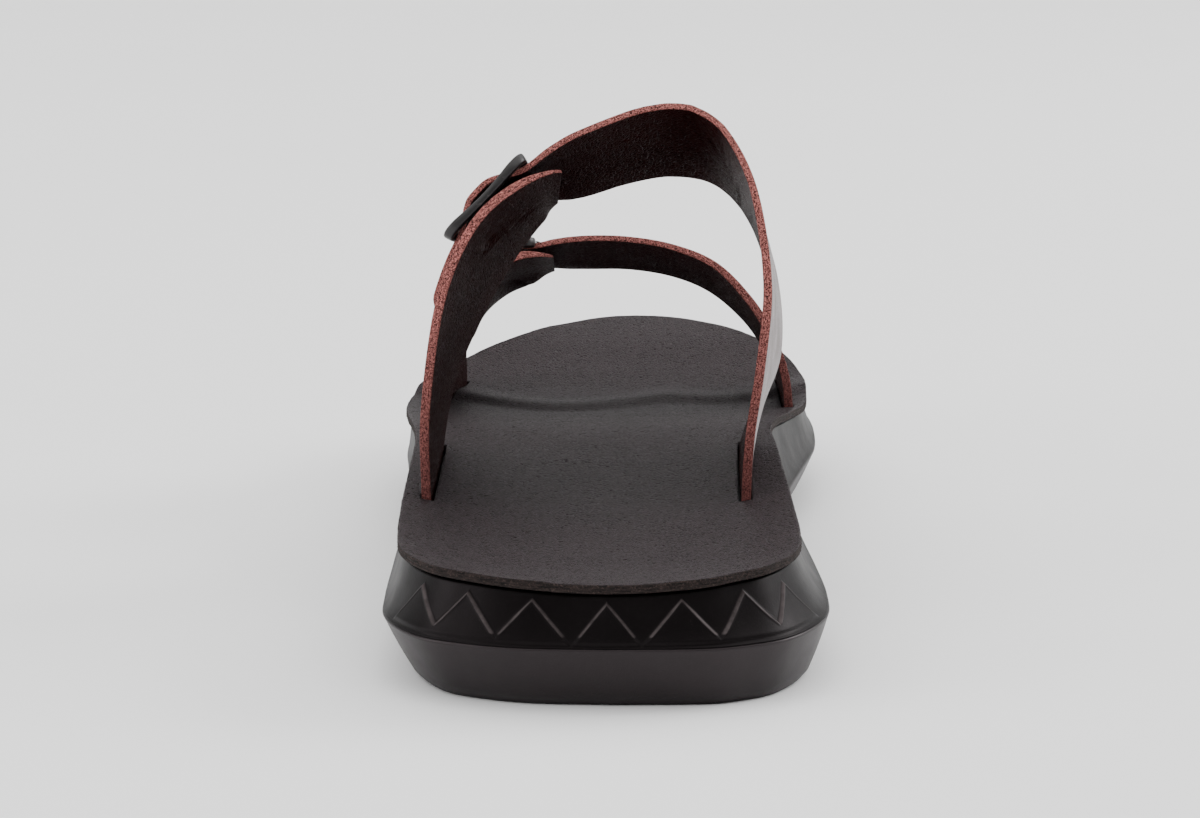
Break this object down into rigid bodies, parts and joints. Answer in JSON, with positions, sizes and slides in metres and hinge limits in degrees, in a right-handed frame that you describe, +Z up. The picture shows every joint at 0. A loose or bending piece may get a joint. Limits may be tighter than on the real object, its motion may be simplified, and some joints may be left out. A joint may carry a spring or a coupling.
{
  "type": "buckle strap slide sandal",
  "caption": "Left slide sandal with a contoured foot bed, a flared sole with a zigzag heel, and wide leather straps over the foot, closed by flat frame buckles on the outer side.",
  "frame": {"origin": "on the ground plane under the middle of the sole's length, on the centre line of the heel", "axes": "+X to the inner side of the foot, +Y from heel to toe, +Z up"},
  "size_m": [0.1001, 0.2795, 0.1068],
  "materials": {
    "outsole": "satin moulded rubber",
    "midsole": "satin moulded foam rubber",
    "insole": "fine-grained leather, raw cut edge",
    "strap": "smooth dark oxblood outside, dark grain inside, reddish raw cut edge",
    "buckle": "black satin coated metal"
  },
  "bodies": {
    "root": {"outsole": "outsole", "midsole": "midsole", "insole": "insole", "rear_strap_outer": "strap", "rear_strap_inner": "strap", "rear_buckle_frame": "buckle", "rear_buckle_prong": "buckle", "front_strap_outer": "strap", "front_strap_inner": "strap", "front_buckle_frame": "buckle", "front_buckle_prong": "buckle"}
  },
  "joints": []
}
